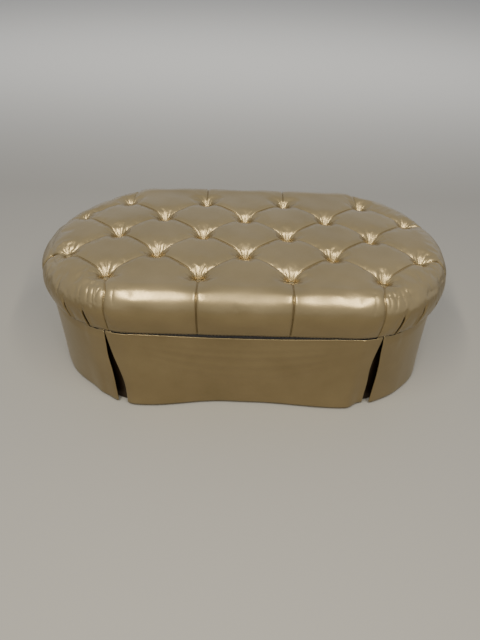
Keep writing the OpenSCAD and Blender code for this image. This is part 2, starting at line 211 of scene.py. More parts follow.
def border_folds():
    """Lines from the outer buttons over the shoulder and down the side."""
    lines = []
    reaches = (LID_R - 0.03, LID_R, LID_REACH)
    for side_y in (-1, 1):
        for side_x in (-1, 1):
            x = side_x * TUFT_X / 2
            lines.append([(x, side_y * 2 * TUFT_Y), (x, side_y * LID_REACH)])
            corner = (side_x * 1.5 * TUFT_X, side_y * 2 * TUFT_Y)
            end = (side_x * 2 * TUFT_X, side_y * TUFT_Y)
            for start, angle in ((corner, FOLD_ANGLE), (end, END_FOLD_ANGLE)):
                lines.append([start] + [on_end(side_x, side_y, angle, s) for s in reaches])
    return lines


DIAGONALS = diagonal_folds()
BORDERS = border_folds()

# The cover's fullness round the corners. Deep tucks come first, then short wrinkles over the shoulder.
# For each: the angle from the front or back where it starts and where it ends, the distances s of its two
# ends, its depth and its width
TUCKS = [
    (25.2, 22.6, 0.356, 0.462, 0.0150, 0.0032),
    (38.2, 34.6, 0.352, 0.462, 0.0180, 0.0042),
    (52.5, 51.4, 0.386, 0.462, 0.0085, 0.0028),
    (88.0, 88.0, 0.388, 0.462, 0.0050, 0.0028),
]
WRINKLES = [
    (16.0, 16.6, 0.300, 0.338, 0.0018, 0.0026),
    (18.6, 18.4, 0.292, 0.332, 0.0022, 0.0024),
    (21.0, 20.4, 0.302, 0.342, 0.0016, 0.0026),
    (24.4, 23.9, 0.296, 0.336, 0.0018, 0.0028),
    (28.6, 28.0, 0.306, 0.340, 0.0012, 0.0032),
    (9.2, 8.8, 0.302, 0.336, 0.0010, 0.0036),
    (46.0, 45.2, 0.312, 0.362, 0.0010, 0.0040),
    (61.5, 60.6, 0.306, 0.372, 0.0011, 0.0042),
]
TUCK_DEPTH = 0.004          # a deeper gather is a tuck, a shallower one a wrinkle

# How strong the wrinkles are at each corner, by the signs of x and y
WRINKLE_SHARE = {(-1, -1): 0.72, (1, -1): 0.24, (-1, 1): 0.6, (1, 1): 0.6}


def gather_lines():
    """The tucks and wrinkles of all four corners, each corner a little different."""
    draw = np.random.default_rng(40)
    found = []
    for side_x in (-1, 1):
        for side_y in (-1, 1):
            for top, bottom, near, far, depth, width in TUCKS:
                turn = draw.uniform(-0.5, 0.5)
                start = on_end(side_x, side_y, top + turn, near)
                end = on_end(side_x, side_y, bottom + turn, far)
                found.append((start, end, depth, width))
            for top, bottom, near, far, depth, width in WRINKLES:
                turn, lean, shift = draw.uniform(-1.0, 1.0, 3)
                length = draw.uniform(0.7, 1.3)
                deep = depth * draw.uniform(0.5, 1.3) * WRINKLE_SHARE[side_x, side_y]
                near = near + 0.006 * shift
                end = on_end(side_x, side_y, bottom + turn + 1.5 * lean, near + (far - near) * length)
                found.append((on_end(side_x, side_y, top + turn, near), end, deep, width))
    return found


GATHER_LINES = gather_lines()


# ---- The lid cover's mesh, in the unrolled plan ----

LATTICE = 26                # mesh steps along a fold between two buttons
COARSE = 0.02               # length of an edge away from buttons and creases
FINER = [                   # a shorter edge, and how near to a button or a crease it is used
    (0.0045, 0.048, 0.0070),
    (0.0022, 0.027, 0.0030),
]
TUCK_MARGIN = 0.004         # how much further out the short edges go beside a tuck


def lattice_mesh():
    """Triangles whose edges lie along both fold directions and along Y."""
    step_x, step_y = TUFT_X / 2 / LATTICE, TUFT_Y / LATTICE
    wide = int((HALF + LID_REACH) / step_x) + 2
    deep = int(LID_REACH / step_y) + 2
    p, q = np.meshgrid(np.arange(-wide, wide + 1), np.arange(-deep, deep + 1), indexing="ij")
    used = (p + q) % 2 == 0
    number = np.full(p.shape, -1)
    number[used] = np.arange(used.sum())
    points = np.stack([p[used] * step_x, q[used] * step_y], axis=1)
    i, j = np.nonzero(used)
    inside = (i < 2 * wide) & (j > 0) & (j < 2 * deep - 1)
    i, j = i[inside], j[inside]
    right = np.stack([number[i, j], number[i + 1, j - 1], number[i + 1, j + 1]], axis=1)
    left = np.stack([number[i, j], number[i + 1, j + 1], number[i, j + 2]], axis=1)
    triangles = np.concatenate([right, left])
    reach = spine(points)[2]
    triangles = triangles[(reach[triangles] < LID_REACH).all(axis=1)]
    kept, triangles = np.unique(triangles, return_inverse=True)
    return points[kept], triangles.reshape(-1, 3)


def triangle_sides(triangles):
    """The edges of the triangles: the first one of each, then the second ones and the third."""
    return np.concatenate([triangles[:, [0, 1]], triangles[:, [1, 2]], triangles[:, [2, 0]]])


def refine(points, triangles, size):
    """Splits each edge that is longer than size() asks for, and the triangles beside it."""
    edges = np.sort(triangle_sides(triangles), axis=1)
    edges, back = np.unique(edges, axis=0, return_inverse=True)
    a, b = points[edges[:, 0]], points[edges[:, 1]]
    split = np.linalg.norm((a - b)[:, :2], axis=1) > size((a + b)[:, :2] / 2)
    middle = np.full(len(edges), -1)
    middle[split] = len(points) + np.arange(split.sum())
    points = np.vstack([points, ((a + b) / 2)[split]])
    cut = middle[back].reshape(3, -1).T
    count = (cut >= 0).sum(axis=1)
    made = [triangles[count == 0]]
    for turn in range(3):
        corner = np.roll(triangles, -turn, axis=1)
        cuts = np.roll(cut, -turn, axis=1)
        one = (count == 1) & (cuts[:, 0] >= 0)
        t, m = corner[one], cuts[one, 0]
        made += [np.stack([t[:, 0], m, t[:, 2]], 1), np.stack([m, t[:, 1], t[:, 2]], 1)]
        two = (count == 2) & (cuts[:, 2] < 0)
        t, m, n = corner[two], cuts[two, 0], cuts[two, 1]
        made += [np.stack([m, t[:, 1], n], 1), np.stack([t[:, 0], m, n], 1),
                 np.stack([t[:, 0], n, t[:, 2]], 1)]
    t, m = triangles[count == 3], cut[count == 3]
    made += [np.stack([t[:, 0], m[:, 0], m[:, 2]], 1), np.stack([m[:, 0], t[:, 1], m[:, 1]], 1),
             np.stack([m[:, 2], m[:, 1], t[:, 2]], 1), m]
    return points, np.concatenate(made)


def tuft_distance(points):
    """Distance of each point from its nearest button, and that button's number."""
    away = np.stack([np.hypot(points[:, 0] - x, points[:, 1] - y) for x, y in TUFTS])
    nearest = away.argmin(axis=0)
    return away.min(axis=0), nearest


def crease_distance(points):
    """Distance of each point from the nearest fold, tuck or wrinkle."""
    lines = list(DIAGONALS) + [pair for line in BORDERS for pair in zip(line, line[1:])]
    lines += [(a, b) for a, b, _, _ in GATHER_LINES]
    return np.min([segment_distance(points, a, b)[0] for a, b in lines], axis=0)


def mesh_size(points):
    """The edge length that the cover's detail needs at a point."""
    button = tuft_distance(points)[0]
    tucks = [(a, b) for a, b, depth, _ in GATHER_LINES if depth > TUCK_DEPTH]
    tuck = np.min([segment_distance(points, a, b)[0] for a, b in tucks], axis=0)
    crease = np.minimum(crease_distance(points), tuck - TUCK_MARGIN)
    size = np.full(len(points), COARSE)
    for length, near_button, near_crease in FINER:
        size[(button < near_button) | (crease < near_crease)] = length
    return size


# ---- The lid cover's relief ----

BULGE = 0.0115              # how far the side swells out
PUFF = 0.013                # rise of the pads above the crown
PUFF_LOSS = 0.35            # share of that rise that the ends lack
PUFF_FADE = (-0.050, 0.010)         # where the pads fade out along the straight sides, from LID_R
PUFF_FADE_END = (-0.035, -0.020)    # and what is added to that at the ends
SWELL = 0.0035              # rise of the straight sides' edge
SWELL_WIDE = 0.030          # its width, and how far inside LID_R it is highest
DENT_DEPTH = 0.008          # a soft dent in the back left of the seat
DENT_AT = (-0.44, 0.26)
DENT_SIZE = (0.15, 0.12)
UNEVEN = 0.0010             # height of the slow unevenness
BULGE_FROM = 0.010          # where the bulge starts, past the start of the shoulder
BULGE_FROM_END = 0.055      # and what is added to that at the ends
BULGE_STOP = 0.004          # how far it ends before the cover has turned under
EDGE_FADE = 0.018           # the stretch up to that place over which all relief fades
DROOP_AT = 0.009            # how far before that place the edge droops most
DROOP_WIDE = 0.008
DROOP_END = (0.15, 0.27)    # where along Y the droop fades out, towards the back
VALLEY = 0.0025             # shallow hollow along a fold
VALLEY_WIDE = 0.014
BORDER_VALLEY = 1.1         # how much deeper that hollow is over the shoulder
BORDER_VALLEY_WIDE = 0.012
PIT_FLAT = 0.008            # radius of the flat under a button
PIT_WIDE = 0.0175           # how far a pit opens
PIT_POWER = 1.12
OUTWARD_DEPTH = 0.0060      # a fold that leans under the pad behind it
OUTWARD_WIDE = 0.0021
OUTWARD_LEAN = 0.0030
LEAN_WIDE = 0.0030
INWARD_DEPTH = 0.0085       # a fold that lies open towards the front, near its lower button
INWARD_LEAST = 0.0012       # the depth it keeps near its upper button
INWARD_WIDE = (0.0062, 0.0016)      # its width on the far and on the near side
BORDER_CREASE = (0.0060, 0.0017)    # depth and width of a fold over the shoulder
END_CREASE = (0.0120, 0.0026)       # and of those at the ends
TUCK_FALL = 1.6             # how steeply a tuck's sides fall, and a wrinkle's
WRINKLE_FALL = 1.3
TUCK_LEAN = 0.42            # how far a tuck runs in under its far side, for its depth
TUCK_LEAN_WIDE = 0.0042
TUCK_RIDGE = 0.18           # height of the ridge beside a tuck, for its depth
TUCK_RIDGE_AT = 0.009
TUCK_RIDGE_WIDE = 0.007
WRINKLE_RIDGE = 0.30        # and of that beside a wrinkle


def pit_share(r):
    """1 in a button's pit and 0 well away from it."""
    return np.exp(-(np.maximum(r - PIT_FLAT, 0) / PIT_WIDE) ** PIT_POWER)


def pucker_relief(points, button, nearest):
    """Rounded gathers between sharp creases, fanning out from each button."""
    relief = np.zeros(len(points))
    for number, (x, y) in enumerate(TUFTS):
        draw = np.random.default_rng(100 + number)
        count = int(draw.integers(14, 17))
        start = TAU * (np.arange(count) + draw.uniform(-0.30, 0.30, count)) / count
        reach = draw.uniform(0.032, 0.062, count)
        rise = draw.uniform(0.0018, 0.0036, count)
        bend = draw.uniform(-5.0, 5.0)
        close = (nearest == number) & (button < 0.063)
        dx, dy = points[close, 0] - x, points[close, 1] - y
        r = button[close]
        angle = (np.arctan2(dy, dx) - bend * (r - 0.012) ** 2 / 0.03 - start[0]) % TAU
        edge = np.append(start - start[0], TAU)
        which = np.clip(np.searchsorted(edge, angle, side="right") - 1, 0, count - 1)
        t = (angle - edge[which]) / (edge[which + 1] - edge[which])
        width = (edge[which + 1] - edge[which]) * r
        scallop = (4 * t * (1 - t)) ** 0.8 - 0.65
        height = np.minimum(rise[which], 0.34 * width)
        fade = smooth((reach[which] - r) / (reach[which] - 0.012)) * smooth((r - 0.008) / 0.006)
        relief[close] = scallop * height * fade
    return relief


def signed_distance(points, a, b):
    """Distance from the line of a fold, positive on its far side from the front, and the far direction."""
    along = np.subtract(b, a) / math.dist(a, b)
    far = np.array([-along[1], along[0]])
    far = far if far[1] > 0 else -far
    return (points - np.asarray(a)) @ far, far


def fold_relief(points, button):
    """Height and sideways lean along the folds between the buttons and out to the border."""
    open_share = 1 - pit_share(button) ** 0.7
    valley = np.zeros(len(points))
    crease = np.zeros(len(points))
    lean = np.zeros((len(points), 2))
    for a, b in DIAGONALS:
        w, share = segment_distance(points, a, b)
        side, far = signed_distance(points, a, b)
        valley = np.maximum(valley, np.exp(-w / VALLEY_WIDE))
        if abs(b[0]) > abs(a[0]):
            depth = OUTWARD_DEPTH * (0.75 + 0.5 * share)
            crease = np.maximum(crease, depth * np.exp(-(w / OUTWARD_WIDE)))
            lean += far * (OUTWARD_LEAN * np.exp(-(w / LEAN_WIDE) ** 2) * open_share)[:, None]
        else:
            depth = INWARD_DEPTH * (1 - smooth((share - 0.12) / 0.42)) + INWARD_LEAST
            width = np.where(side > 0, *INWARD_WIDE)
            crease = np.maximum(crease, depth * np.exp(-w / width))
    for line in BORDERS:
        end = abs(line[0][0]) > 1.9 * TUFT_X
        for a, b in zip(line, line[1:]):
            w, _ = segment_distance(points, a, b)
            valley = np.maximum(valley, BORDER_VALLEY * np.exp(-w / BORDER_VALLEY_WIDE))
            deep, wide = END_CREASE if end else BORDER_CREASE
            crease = np.maximum(crease, deep * np.exp(-w / wide))
            if end:
                push = OUTWARD_LEAN * np.exp(-(w / LEAN_WIDE) ** 2) * open_share
                lean += np.array([0.0, 1.0]) * push[:, None]
    return -(VALLEY * valley + crease) * open_share, lean


def gather_relief(points):
    """Height and sideways lean at the tucks and wrinkles; a tuck runs in under its far side."""
    relief = np.zeros(len(points))
    lean = np.zeros((len(points), 2))
    for a, b, depth, width in GATHER_LINES:
        w, share = segment_distance(points, a, b)
        if depth > TUCK_DEPTH:
            fade = smooth(share / 0.35)
            relief -= depth * np.exp(-(w / width) ** TUCK_FALL) * fade
            under = np.array([math.copysign(1.0, a[0]), 0.0])
            push = TUCK_LEAN * depth * np.exp(-(w / TUCK_LEAN_WIDE) ** 2) * fade
            lean += under * push[:, None]
            ridge = np.exp(-((w - TUCK_RIDGE_AT) / TUCK_RIDGE_WIDE) ** 2)
            relief += TUCK_RIDGE * depth * ridge * fade
        else:
            fade = np.sin(math.pi * np.clip(share, 0, 1)) ** 0.7
            relief -= depth * np.exp(-(w / width) ** WRINKLE_FALL) * fade
            ridge = np.exp(-((w - 3.0 * width) / (2 * width)) ** 2)
            relief += WRINKLE_RIDGE * depth * ridge * fade
    return relief, lean


def cover_points(points):
    """Where the cover's unrolled points are in space."""
    button, nearest = tuft_distance(points)
    fold, lean = fold_relief(points, button)
    gather, tuck_lean = gather_relief(points)
    moved = points + lean + tuck_lean
    middle, direction, s = spine(moved)
    shoulder = lid_shoulder(direction)
    r, z, out, up = lid_section(s, shoulder)
    straight = 1 - smooth(np.abs(direction[:, 0])) * smooth(s / 0.25)
    end = 1 - straight
    fade_from, fade_to = (LID_R + side + more * end for side, more in zip(PUFF_FADE, PUFF_FADE_END))
    height = PUFF * (1 - between(s, fade_from, fade_to)) * (1 - PUFF_LOSS * end)
    height += SWELL * np.exp(-((s - LID_R + SWELL_WIDE) / SWELL_WIDE) ** 2) * straight
    height += fold + gather
    dent_x = (points[:, 0] - DENT_AT[0]) / DENT_SIZE[0]
    dent_y = (points[:, 1] - DENT_AT[1]) / DENT_SIZE[1]
    height -= DENT_DEPTH * np.exp(-dent_x ** 2 - dent_y ** 2)
    height += UNEVEN * waves(points[:, 0], points[:, 1], seed=7, size=0.110) * (1 - pit_share(button))
    reach = section_end(shoulder)
    above = LID_R - shoulder + BULGE_FROM + BULGE_FROM_END * end
    down = np.clip((s - above) / (reach - BULGE_STOP - above), 0, 1)
    height += BULGE * np.sin(math.pi * down ** 0.9) ** 0.8
    height *= 1 - between(s, reach - EDGE_FADE, reach)
    droop = DROOP * np.exp(-((s - reach + DROOP_AT) / DROOP_WIDE) ** 2)
    hang = droop * (1 - between(moved[:, 1], *DROOP_END))
    seat = SEAT_Z - z
    share = pit_share(button)
    height = height * (1 - share) + seat * share + pucker_relief(points, button, nearest)
    return np.stack([middle + direction[:, 0] * (r + out * height), direction[:, 1] * (r + out * height),
                     z + up * height - hang], axis=1)


def boundary_loops(triangles):
    """The open edges, as a dict from each edge's first point to its second."""
    edges = triangle_sides(triangles)
    key = np.sort(edges, axis=1)
    _, first, count = np.unique(key, axis=0, return_index=True, return_counts=True)
    return dict(edges[first[count == 1]].tolist())


SETTLE_FRAMES = 20
SETTLE_MOST = 0.0028        # the furthest that the cloth may move from its laid-out shape


def tautness(points):
    """1 where the cover is stretched smooth, along the straight sides, and 0 where it is gathered."""
    _, direction, s = spine(points)
    straight = 1 - smooth(np.abs(direction[:, 0]) * 2.5)
    side = straight * between(s, LID_R - 0.085, LID_R - 0.055)
    pads = 0.55 * between(tuft_distance(points)[0], 0.030, 0.065)
    return np.maximum(side, pads)


def settle(points, triangles):
    """How far each point of the cover moves when the padding presses it out between its buttons and folds.
    A cloth with a little slack is blown up from inside. It is held at the buttons, the folds and its
    lower edge."""
    place = cover_points(points)
    after = boundary_loops(triangles)
    middle = len(place)
    fan = [(b, a, middle) for a, b in after.items()]
    rim = place[list(after)]
    cloth_piece = new_object("settling_cover", np.vstack([place, rim.mean(axis=0)]), triangles.tolist() + fan)
    lower = spine(points)[2] > LID_REACH - UNDER - 0.02
    held = (tuft_distance(points)[0] < 0.030) | (crease_distance(points) < 0.004) | lower
    group = cloth_piece.vertex_groups.new(name="held")
    group.add(np.append(np.nonzero(held)[0], middle).tolist(), 1.0, "REPLACE")
    cloth = cloth_piece.modifiers.new("cloth", "CLOTH")
    cloth.settings.quality = 5
    cloth.settings.vertex_group_mass = "held"
    cloth.settings.tension_stiffness = 20
    cloth.settings.compression_stiffness = 20
    cloth.settings.shear_stiffness = 8
    cloth.settings.bending_stiffness = 0.8
    taut = cloth_piece.vertex_groups.new(name="taut")
    for number, share in enumerate(tautness(points)):
        taut.add([number], float(share), "REPLACE")
    cloth.settings.vertex_group_shrink = "taut"
    cloth.settings.shrink_min = -0.022
    cloth.settings.shrink_max = 0.0
    cloth.settings.use_pressure = True
    cloth.settings.uniform_pressure_force = 3
    cloth.settings.effector_weights.gravity = 0
    cloth.collision_settings.use_collision = False
    cloth.point_cache.frame_start = 1
    cloth.point_cache.frame_end = SETTLE_FRAMES
    for step in range(1, SETTLE_FRAMES + 1):
        bpy.context.scene.frame_set(step)
    settled = cloth_piece.evaluated_get(bpy.context.evaluated_depsgraph_get())
    found = np.empty(len(settled.data.vertices) * 3)
    settled.data.vertices.foreach_get("co", found)
    moved = found.reshape(-1, 3)[:middle] - place
    length = np.linalg.norm(moved, axis=1, keepdims=True)
    bpy.data.objects.remove(cloth_piece)
    bpy.context.scene.frame_set(1)
    return moved * np.minimum(1, SETTLE_MOST / np.maximum(length, 1e-9))


def lid_cover():
    """The tufted cover, closed below by one face inside the lid."""
    points, triangles = lattice_mesh()
    moved = settle(points, triangles)
    points = np.hstack([points, moved])
    for _ in range(2):
        points, triangles = refine(points, triangles, mesh_size)
    points, moved = points[:, :2], points[:, 2:]
    after = boundary_loops(triangles)
    edge = np.array(list(after))
    middle, direction, s = spine(points[edge])
    points[edge] = np.stack([middle, 0 * middle], axis=1) + direction * LID_REACH
    place = cover_points(points) + moved
    loop = [next(iter(after))]
    while after[loop[-1]] != loop[0]:
        loop.append(after[loop[-1]])
    return new_object("tufted_lid_cover", place, triangles.tolist() + [loop[::-1]])


# ---- Covered buttons ----

def covered_buttons():
    """Low domes with the vinyl drawn in round their edges."""
    around, rings = 40, 9
    points, faces = [], []
    for number, (x, y) in enumerate(TUFTS):
        draw = np.random.default_rng(300 + number)
        tilt_x, tilt_y = draw.uniform(-0.10, 0.10, 2)
        start = len(points)
        radius = BUTTON_R + 0.0010
        for ring in range(rings):
            a = math.radians(-35 + 125 * ring / (rings - 1))
            for k in range(around):
                b = TAU * k / around
                tuck = 1 + 0.02 * math.cos(b * 10) * math.cos(a) ** 4
                r = radius * math.cos(a) * tuck if ring < rings - 1 else 0.0
                px, py = r * math.cos(b), r * math.sin(b)
                z = SEAT_Z + 0.0022 + 0.0052 * math.sin(a) + px * tilt_x + py * tilt_y
                points.append((x + px, y + py, z))
                if ring == rings - 1:
                    break
            if ring < rings - 2:
                base = start + ring * around
                faces += [(base + k, base + (k + 1) % around,
                           base + around + (k + 1) % around, base + around + k)
                          for k in range(around)]
        last, base = len(points) - 1, start + (rings - 2) * around
        faces += [(base + k, base + (k + 1) % around, last) for k in range(around)]
        faces.append([start + k for k in range(around)][::-1])
    return new_object("covered_buttons", points, faces)


# ---- Skirt ----

def on_oval(length, radius):
    """The place and outward direction at a length along the front of an oval of this radius, from its middle.
    The length is measured on the skirt's own oval."""
    over = abs(length) - HALF
    if over <= 0:
        return Vector((length, -radius, 0)), Vector((0, -1, 0))
    a = over / SKIRT_R
    side = math.copysign(1, length)
    out = Vector((side * math.sin(a), -math.cos(a), 0))
    return Vector((side * HALF, 0, 0)) + out * radius, out


END_LENGTH = HALF + SKIRT_R * math.pi / 2        # from the front's middle to the tip of an end
PLEAT_ANGLE = {-1: 16.6, 1: 17.9}        # where the pleats are at the top, for the left and the right end
SHEET = 0.0020
FOLD_TOP = SKIRT_TOP - 0.0075             # height of the skirt's folded top edge
FOLD_R = 0.0020                          # radius of that fold
FOLD_STEPS = 5
SKIRT_ROWS, SKIRT_COLUMNS = 48, 170


def skirt_rows(count):
    """For each row down a skirt: its share of the fall, its height and how far it is rolled in at the top."""
    rows = []
    for k in range(FOLD_STEPS):
        a = math.radians(90 * (1 - k / FOLD_STEPS))
        rows.append((0.0, FOLD_TOP - FOLD_R * (1 - math.sin(a)), 0.85 * FOLD_R * (1 - math.cos(a))))
    for i in range(count + 1):
        fall = i / count
        rows.append((fall, FOLD_TOP - FOLD_R + (HEM_Z - FOLD_TOP + FOLD_R) * fall, 0.0))
    return rows


def sheet_object(name, grid, thickness=SHEET):
    """A closed sheet from a grid of points, rows downwards, thickened inwards."""
    rows, columns = len(grid), len(grid[0])
    points = [p for row in grid for p in row]
    faces = [(i * columns + j, (i + 1) * columns + j, (i + 1) * columns + j + 1, i * columns + j + 1)
             for i in range(rows - 1) for j in range(columns - 1)]
    made = new_object(name, points, faces)
    solid = made.modifiers.new("thickness", "SOLIDIFY")
    solid.thickness = thickness
    solid.offset = -1
    solid.use_even_offset = False
    bpy.context.view_layer.objects.active = made
    with bpy.context.temp_override(object=made, active_object=made, selected_objects=[made]):
        bpy.ops.object.modifier_apply(modifier=solid.name)
    made.data.shade_smooth()
    return made


# How far the hems stand out from the skirt's oval: a left and a right value at the front panel's corners
# and edges, and angles with values round each end
FRONT_FLARE = (0.024, 0.019)
FRONT_EDGE = (0.012, 0.003)
END_HEMS = {
    -1: [(14, 0.016), (24, 0.006), (36, -0.004), (58, 0.004), (90, 0.010), (125, 0.002), (155, 0.009),
         (166, 0.012)],
    1: [(14, 0.006), (24, 0.009), (41, 0.014), (58, 0.021), (90, 0.012), (122, 0.004), (150, 0.010),
        (166, 0.008)],
}

# The front's sagging ripples: how far below the top each lies in the middle, and its depth
SWAGS = [(0.050, 0.0010), (0.085, 0.0014), (0.130, 0.0011), (0.175, 0.0007)]


def pleat_lift(to_pleat, fall):
    """How far a panel stands out beside a pleat, at the top, over the strip it turns back."""
    return 0.0034 * float((1 - smooth((to_pleat - 0.058) / 0.025)) * (1 - smooth(fall / 0.40)))


def front_offset(length, fall):
    """How far the front panel stands out from the skirt's oval; fall is 0 at the top and 1 at the hem."""
    x, side = abs(length), int(length > 0)
    flare = FRONT_FLARE[side] * float(smooth((x - 0.05) / 0.27))
    flare -= (FRONT_FLARE[side] - FRONT_EDGE[side]) * float(smooth((x - 0.362) / 0.045))
    swing = 0.0016 * math.sin(length * 13.0 + 0.4) * math.exp(-(x / 0.30) ** 4)
    drape = 0.0
    for drop, depth in SWAGS:
        line = drop * (1 - 0.75 * (x / 0.40) ** 2)
        drape += depth * math.exp(-((fall * 0.32 - line) / 0.011) ** 2) * float(smooth((0.42 - x) / 0.20))
    lift = pleat_lift(round_end(PLEAT_ANGLE[1 if side else -1]) - x, fall)
    return (flare + swing) * fall ** 1.7 + drape + lift


def front_row(fall, z, rolled):
    """Points across the front panel at one height."""
    row = []
    for j in range(SKIRT_COLUMNS + 1):
        share = 2 * j / SKIRT_COLUMNS - 1
        side = 1 if share > 0 else -1
        length = share * round_end(along_stops(FRONT_EDGES[side], fall))
        place, out = on_oval(length, SKIRT_R - rolled + front_offset(length, fall))
        row.append(Vector((place.x, place.y, z - top_sag(length) * (1 - fall))))
    return row


RETURN = 0.030              # width of the strip turned back at a pleat
RETURN_STEPS = 12


def turned_edge(row, fall, direction):
    """The strip that a panel turns back behind its pleat edge, from the edge inwards."""
    edge, before = row[-1], row[-3]
    along = (edge - before).normalized()
    inward = Vector((along.y, -along.x, 0)) * direction
    turn_r = 0.0020 + 0.0006 * fall
    swing = math.radians(180 - 8 * float(smooth(fall / 0.25)) - 2 * fall)
    points = []
    for k in range(1, RETURN_STEPS + 1):
        a = min(k / 5, 1.0) * swing
        move = along * math.sin(a) * turn_r + inward * (1 - math.cos(a)) * turn_r
        if k > 5:
            away = along * math.cos(swing) + inward * math.sin(swing)
            move += away * RETURN * (k - 5) / (RETURN_STEPS - 5) * (0.6 + 0.4 * fall)
        points.append(edge + move)
    return points


def mirrored(grid):
    """The same panel at the back of the box."""
    return [[Vector((p.x, -p.y, p.z)) for p in row][::-1] for row in grid]


# Where the pleat edges are, as angles from the front, for the left and the right end,
# going down a pleat: shares of the fall, each with the angle there of the panel's edge
FRONT_EDGES = {
    -1: [(0, 16.2), (0.06, 16.0), (0.28, 14.6), (0.39, 13.6), (0.51, 12.0), (0.62, 10.6), (0.74, 9.5),
         (1, 9.2)],
    1: [(0, 17.4), (0.16, 16.3), (0.28, 15.6), (0.40, 15.2), (0.51, 15.2), (0.66, 16.0), (1, 16.0)],
}
END_EDGES = {
    -1: [(0, 17.2), (0.14, 17.1), (0.30, 17.7), (0.40, 17.5), (0.52, 16.6), (0.70, 16.0), (1, 15.4)],
    1: [(0, 18.4), (0.16, 18.8), (0.28, 19.7), (0.40, 20.5), (0.60, 20.9), (1, 20.6)],
}


def along_stops(stops, share):
    """The value between stops, with no corners at them."""
    places, values = zip(*stops)
    near = np.clip(share + np.linspace(-0.06, 0.06, 9), 0, 1)
    return float(np.mean(np.interp(near, places, values)))


def round_end(degrees):
    """The length along the skirt's oval, from the middle of the front, at an angle round an end."""
    return HALF + SKIRT_R * math.radians(degrees)


def top_sag(length):
    """How far the skirt's top edge hangs below its highest place; most in the middle of a straight side."""
    return 0.008 * float(1 - smooth((abs(length) - 0.05) / 0.36))


def long_skirt(name, flip_y):
    """The front panel, or the same one at the back, with the strips it turns back at the pleats."""
    grid = []
    for fall, z, rolled in skirt_rows(SKIRT_ROWS):
        row = front_row(fall, z, rolled)
        right = turned_edge(row, fall, -1)
        left = turned_edge(row[::-1], fall, 1)
        grid.append(left[::-1] + row + right)
    return sheet_object(name, mirrored(grid) if flip_y else grid)


def end_offset(length, fall, side):
    """How far an end panel stands out; length runs from the front pleat round to the back one."""
    angle = math.degrees((length - HALF) / SKIRT_R)
    hem = 0.0
    stops = END_HEMS[side]
    for (a, low), (b, high) in zip(stops, stops[1:]):
        if a <= angle <= b:
            hem = low + (high - low) * float(smooth((angle - a) / (b - a)))
    to_pleat = min(length, 2 * END_LENGTH - length) - round_end(PLEAT_ANGLE[side])
    return 0.004 * float(smooth(fall / 0.10)) + pleat_lift(to_pleat, fall) * (1 - fall) + hem * fall ** 1.5


def end_place(length, radius, z, side):
    """A point of an end panel, at a length round the oval and a distance from the middle line."""
    a = (length - HALF) / SKIRT_R
    return Vector((side * (HALF + radius * math.sin(a)), -radius * math.cos(a), z))


def end_skirt(name, side):
    """The panel round one end."""
    last = 2 * END_LENGTH
    grid = []
    for fall, z, rolled in skirt_rows(SKIRT_ROWS):
        start = round_end(along_stops(END_EDGES[side], fall))
        row = []
        for j in range(SKIRT_COLUMNS + 1):
            length = start + (last - 2 * start) * j / SKIRT_COLUMNS
            row.append(end_place(length, SKIRT_R - rolled + end_offset(length, fall, side), z, side))
        back = turned_edge(row, fall, -side)
        front = turned_edge(row[::-1], fall, side)
        grid.append(front[::-1] + row + back)
    if side < 0:
        grid = [row[::-1] for row in grid]
    return sheet_object(name, grid)


UNDERLAY_TOP = FOLD_TOP - 0.0165
UNDERLAY_HEM = HEM_Z - 0.0055
UNDERLAY_CUT = (0.130, UNDERLAY_TOP - UNDERLAY_HEM)
UNDERLAY_SHEET = 0.0006
UNDERLAY_FLARE = {-1: 0.011, 1: 0.003}      # how far its hem stands out, at the left and the right end


def pleat_backing(name, side_x, side_y):
    """The sheet behind a pleat."""
    rows, columns = 60, 30
    grid = []
    for i in range(rows + 1):
        fall = i / rows
        row = []
        for j in range(columns + 1):
            length = round_end(PLEAT_ANGLE[side_x]) + UNDERLAY_CUT[0] * (j / columns - 0.5)
            bow = 0.002 * math.sin(7 * j / columns + 1) * fall
            z = UNDERLAY_TOP + (UNDERLAY_HEM - UNDERLAY_TOP) * fall
            over_batten = (BATTEN_R - BOX_R - 0.0018) * float(1 - smooth((BATTEN_LOW - 0.003 - z) / 0.032))
            flare = UNDERLAY_FLARE[side_x] * fall ** 1.6
            place, _ = on_oval(length, BOX_R + 0.0025 + bow + flare + over_batten)
            row.append(Vector((side_x * place.x, -side_y * place.y, z)))
        grid.append(row if side_x * side_y < 0 else row[::-1])
    return sheet_object(name, grid, UNDERLAY_SHEET)


# ---- Rim ----

RIM_STATIONS = 360


def rim_band():
    """The band of cloth that wraps the top edge of the box, with a rounded outer edge."""
    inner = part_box("wall_lining")[1].y + 0.0005
    outer = BATTEN_R + 0.0006
    edge_r = 0.0030
    section = [(inner, SKIRT_TOP - 0.010), (inner, RIM_TOP - 0.001), (inner + 0.001, RIM_TOP)]
    for k in range(9):
        a = math.radians(90 - 90 * k / 8)
        section.append((outer - edge_r + edge_r * math.cos(a), RIM_TOP - edge_r + edge_r * math.sin(a)))
    section.append((outer, RIM_TOP - 2 * edge_r))
    section.append((outer, FOLD_TOP - 0.016))
    section.append((BATTEN_R + 0.0002, FOLD_TOP - 0.016))
    section.append((BATTEN_R + 0.0002, SKIRT_TOP + 0.0002))
    section.append((inner + 0.0015, SKIRT_TOP + 0.0002))
    section.append((inner + 0.0015, SKIRT_TOP - 0.010))
    stations = [on_loop(k / RIM_STATIONS) for k in range(RIM_STATIONS)]
    points, faces = [], []
    count = len(section)
    for place, out in stations:
        points += [Vector((place.x, place.y, 0)) + out * r + Vector((0, 0, z)) for r, z in section]
    for k in range(len(stations)):
        a, b = k * count, (k + 1) % len(stations) * count
        faces += [(a + i, a + (i + 1) % count, b + (i + 1) % count, b + i) for i in range(count)]
    return new_object("rim_band_painted_shade", points, faces)


